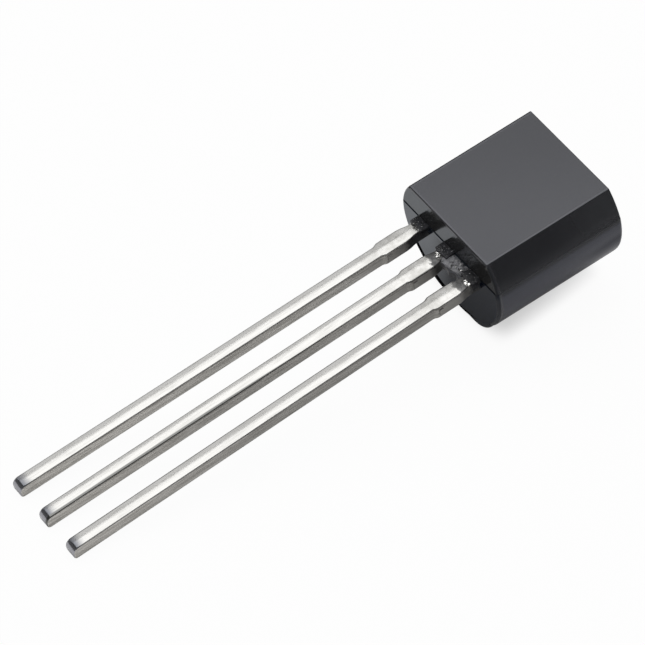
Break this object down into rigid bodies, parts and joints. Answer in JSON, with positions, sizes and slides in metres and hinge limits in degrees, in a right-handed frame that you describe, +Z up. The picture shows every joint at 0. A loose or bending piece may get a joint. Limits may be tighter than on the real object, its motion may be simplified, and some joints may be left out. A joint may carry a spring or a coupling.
{
  "type": "transistor",
  "caption": "Small-signal transistor in a D-shaped moulded epoxy case with a flat front and straight tinned leads, lying flat side up.",
  "frame": {"origin": "on the surface it lies on, under the middle of its whole box", "axes": "+X along the lead tips to the top of the case, level; +Y across the leads towards the emitter; +Z up, the way the flat front faces apart from the tilt it rests at"},
  "size_m": [0.0188, 0.0048, 0.0043],
  "materials": {
    "case_epoxy": "black filled epoxy, satin as moulded",
    "lead_tin": "matt tin plate with fine drawing lines",
    "die_silicon": "polished silicon with metal pads",
    "bond_wire": "bright drawn wire"
  },
  "bodies": {
    "root": {"moulded_case": "case_epoxy", "emitter_lead": "lead_tin", "collector_lead": "lead_tin", "base_lead": "lead_tin", "silicon_die": "die_silicon", "emitter_bond_wire": "bond_wire", "base_bond_wire": "bond_wire"}
  },
  "joints": []
}
